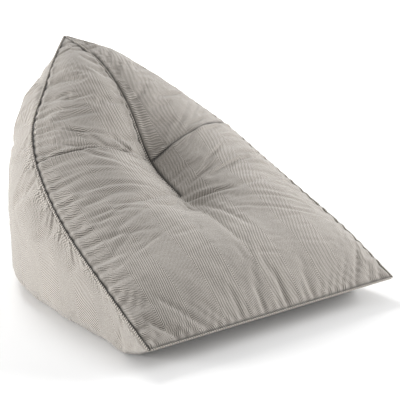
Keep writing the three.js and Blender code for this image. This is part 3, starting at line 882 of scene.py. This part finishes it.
pieces = {}
FIRST_ROW = 3  # the panels start just under the peak, where they all meet
for name, columns in (("left", slice(0, middle_column + 1)), ("right", slice(middle_column, None))):
    rows = slice(FIRST_ROW, cross_row + 1)
    uvs = face_uv[rows, columns] + (0.021, 0)
    pieces[f"back_panel_{name}"] = sheet_object(f"back_panel_{name}_cloth", face_points[rows, columns], uvs,
                                                face_shade[rows, columns], back_twill)
rows = slice(cross_row, None)
pieces["seat_panel"] = sheet_object("seat_panel_cloth", face_points[rows], face_uv[rows], face_shade[rows],
                                    twill)

for name, side, rough in (("left", -1, rough_walls[0]), ("right", 1, rough_walls[1])):
    points, uvs, shade = shape_wall(rough, side)
    # The back edge of the panel turns out of the zip's way.
    gap = slot_width(points, "cover_zip", 0.0048, 0.002)
    points[..., 0] += side * gap * np.exp(-np.abs(points[..., 0]) / 0.02)
    pieces[f"side_panel_{name}"] = sheet_object(f"side_panel_{name}_cloth", points, uvs, shade, side_twill)

# Base: rings from the middle of the floor to the rim.
rim_t = np.linspace(0, 1, ALONG * 2 + 1)
front_s = np.linspace(1, -1, 65)[1:-1]
rim = np.concatenate([base_rim(1, rim_t), face(front_s, np.ones_like(front_s)), base_rim(-1, rim_t[::-1])[:-1]])
rings = np.linspace(0.02, 1, 49)
base_points = floor_patch(np.repeat(rim[None], len(rings), 0), np.repeat(rings[:, None], len(rim), 1))
base_lift = 0.0012 * (lumps(base_points, 0.07, 21) + 0.6 * lumps(base_points, 0.03, 22))
raised = smoothstep(base_points[..., 2], 0.002, 0.02) * (1 - smoothstep(rings, 0.97, 1))[:, None]
base_points[..., 2] += base_lift * raised + 0.0004
base_faces = []
for ring in range(len(rings) - 1):
    for k in range(len(rim)):
        a, b = ring * len(rim) + k, ring * len(rim) + (k + 1) % len(rim)
        base_faces.append([a, b, b + len(rim), a + len(rim)])
base_points = np.concatenate([base_points.reshape(-1, 3), [(0, 0.56, 0.0004)]])
for k in range(len(rim)):
    base_faces.append([k, len(base_points) - 1, (k + 1) % len(rim)])
base = bpy.data.meshes.new("base_panel_cloth")
base.from_pydata(row_frame(base_points).tolist(), [], base_faces)
layer = base.uv_layers.new(name="cloth")
loops = np.empty(len(base.loops), int)
base.loops.foreach_get("vertex_index", loops)
layer.data.foreach_set("uv", base_points[loops][:, :2].ravel())
base.polygons.foreach_set("use_smooth", [True] * len(base.polygons))
base.materials.append(base_cloth)
pieces["base_panel"] = bpy.data.objects.new("base_panel_cloth", base)
bpy.context.scene.collection.objects.link(pieces["base_panel"])

for name, piece in pieces.items():
    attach(piece, "bag")
    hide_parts(name)

# ---- Piping ------------------------------------------------------------------------------------------
for name, side in (("left", -1), ("right", 1)):
    path = side_seam(side, np.linspace(0.004, 1, 700)) + np.array((side * 0.0028, 0, 0.0012))
    pieces[f"piping_{name}"] = tube(f"piping_{name}_cord", path, PIPING_RADIUS, piping_material)
seam_path = face_points[: round(DART_END * face_rows) + 2, middle_column]
centre_radius = PIPING_RADIUS * (1 - 0.75 * smoothstep(np.linspace(0, 1, len(seam_path)), 0.93, 1))
pieces["piping_centre"] = tube("piping_centre_cord", seam_path + (0, -0.0006, 0.0012), centre_radius,
                               piping_material)
front_x = np.linspace(-1, 1, 300) * (HALF_WIDTH - 0.003)
front_path = np.stack([front_x, np.zeros(300), np.full(300, EDGE_LIFT)], 1)
pieces["piping_front"] = tube("piping_front_cord", front_path, 0.85 * PIPING_RADIUS, piping_material)
for name in ("piping_left", "piping_right", "piping_centre", "piping_front"):
    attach(pieces[name], "bag")
    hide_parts(name)

# ---- Liner and beads: the same bag again, a little smaller and with softer folds ----------------------
CORE = np.array((0, 0.74, 0.145))


def inner_bag(name, scale, material, wrinkle, zipped):
    bag = bmesh.new()
    layer = bag.loops.layers.uv.new("cloth")
    for k, patch in enumerate(cover):
        points = CORE + (patch - CORE) * scale
        if wrinkle:
            folds = wrinkle * (lumps(points, 0.05, 31 + k) + 0.5 * lumps(points, 0.02, 41 + k))
            border = np.zeros(patch.shape[:2])
            border[1:-1, 1:-1] = 1
            points = points - (np.abs(folds) * border)[..., None] * normals_of(points)
        if k == 0:
            inward = 0.009 * np.minimum(1, 4 * np.sin(np.pi * np.linspace(0, 1, patch.shape[0])))[:, None]
            inward = inward * np.minimum(1, 5 * np.sin(np.pi * np.linspace(0, 1, patch.shape[1])))
            points = points - inward[..., None] * normals_of(points)
        if zipped and k in (1, 2):
            gap = slot_width(points, "liner_zip", 0.0068, 0.02)
            points[..., 0] += (1 if k == 2 else -1) * gap * np.exp(-np.abs(points[..., 0]) / 0.02)
        points = row_frame(points)
        uvs = cloth_uv(points, 0, from_end=False)
        corners = [bag.verts.new(point) for point in points.reshape(-1, 3)]
        flat = uvs.reshape(-1, 2)
        a, b, c = points[1, 1], points[1, 2], points[2, 1]
        turned = np.cross(b - a, c - a) @ (a - row_frame(CORE)) < 0
        for quad in quads(points.shape[0] - 1, points.shape[1] - 1):
            order = quad[::-1] if turned else quad
            made = bag.faces.new([corners[i] for i in order])
            made.smooth = True
            for loop, i in zip(made.loops, order):
                loop[layer].uv = flat[i]
    bmesh.ops.remove_doubles(bag, verts=bag.verts, dist=2e-5)
    mesh = bpy.data.meshes.new(name)
    bag.to_mesh(mesh)
    bag.free()
    mesh.materials.append(material)
    piece = bpy.data.objects.new(name, mesh)
    bpy.context.scene.collection.objects.link(piece)
    return piece


pieces["inner_liner"] = inner_bag("inner_liner_cloth", 0.964, liner_material, 0.0012, True)
pieces["bead_fill"] = inner_bag("bead_fill_body", 0.95, beads_material, 0.0008, False)
for name, slot in (("inner_liner", "liner_fabric"), ("bead_fill", "beads")):
    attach(pieces[name], "bag")
    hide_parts(name)

# ---- CAD nodes that stay -----------------------------------------------------------------------------
CAD_MATERIALS = {"zip_tape": tape_material, "zip_teeth": teeth_material, "zip_metal": metal_material}
for row in frame["record"]["subparts"]:
    if row["material_slot"] in CAD_MATERIALS:
        node = bpy.data.objects[row["node"]]
        node.data.materials.clear()
        node.data.materials.append(CAD_MATERIALS[row["material_slot"]])

# ---- Floor, light and camera -------------------------------------------------------------------------
floor = to_object("studio_floor", [(-30, -30, 0), (30, -30, 0), (30, 30, 0), (-30, 30, 0)], [(0, 1, 2, 3)])
floor_graph = Graph("studio_floor")
grain = floor_graph.noise(floor_graph.place(), 3.0)
# Painted light: the floor glows, faintly near the bag and up to 0.7 from 1 m to 3 m away, lightening the bag's
# shadow and keeping the far floor white.
floor_graph.finish(floor_graph.mix(grain, (0.86, 0.86, 0.86), (0.88, 0.88, 0.88)), None, 0.9,
                   Emission_Color=(1, 1, 1, 1))
away = floor_graph.node("ShaderNodeVectorMath", operation="LENGTH")
floor_graph.link(floor_graph.place(), away.inputs[0])
floor_graph.link(floor_graph.ramp(away.outputs["Value"], 1.0, 3.0, 0.05, 0.7),
                 floor_graph.shader.inputs["Emission Strength"])
floor.data.materials.append(floor_graph.material)

world = bpy.data.worlds.new("studio")
world.use_nodes = True
world.node_tree.nodes["Background"].inputs["Color"].default_value = (1, 1, 1, 1)
world.node_tree.nodes["Background"].inputs["Strength"].default_value = 0.57
bpy.context.scene.world = world


def area_light(name, place, target, size, power):
    light = bpy.data.lights.new(name, "AREA")
    light.shape = "DISK"
    light.size = size
    light.energy = power
    lamp = bpy.data.objects.new(name, light)
    lamp.location = place
    lamp.rotation_euler = (Vector(target) - Vector(place)).to_track_quat("-Z", "Y").to_euler()
    bpy.context.scene.collection.objects.link(lamp)


area_light("key_light", (-4.2, 1.5, 0.75), (0, 0, 0.3), 1.6, 160)
area_light("back_light", (0.6, 4.2, 4.4), (0, 0, 0.2), 2.5, 185)
area_light("fill_light", (4.8, -1.8, 1.8), (0, 0, 0.2), 2.5, 265)

# The camera looks down on the chair from the sitter's right.
AZIMUTH, ELEVATION = math.radians(-37.31), math.radians(18.06)
camera_data = bpy.data.cameras.new("camera")
camera_data.lens = 135
camera_data.sensor_width = 36
camera = bpy.data.objects.new("camera", camera_data)
back = Vector((math.sin(AZIMUTH) * math.cos(ELEVATION), -math.cos(AZIMUTH) * math.cos(ELEVATION),
               math.sin(ELEVATION)))
camera.rotation_euler = back.to_track_quat("Z", "Y").to_euler()
camera.location = (-2.8635, EDGE_Y - 3.3519, EDGE_Z + 1.8084)
bpy.context.scene.collection.objects.link(camera)
bpy.context.scene.camera = camera
bpy.context.scene.view_settings.view_transform = "Standard"

bpy.context.view_layer.update()
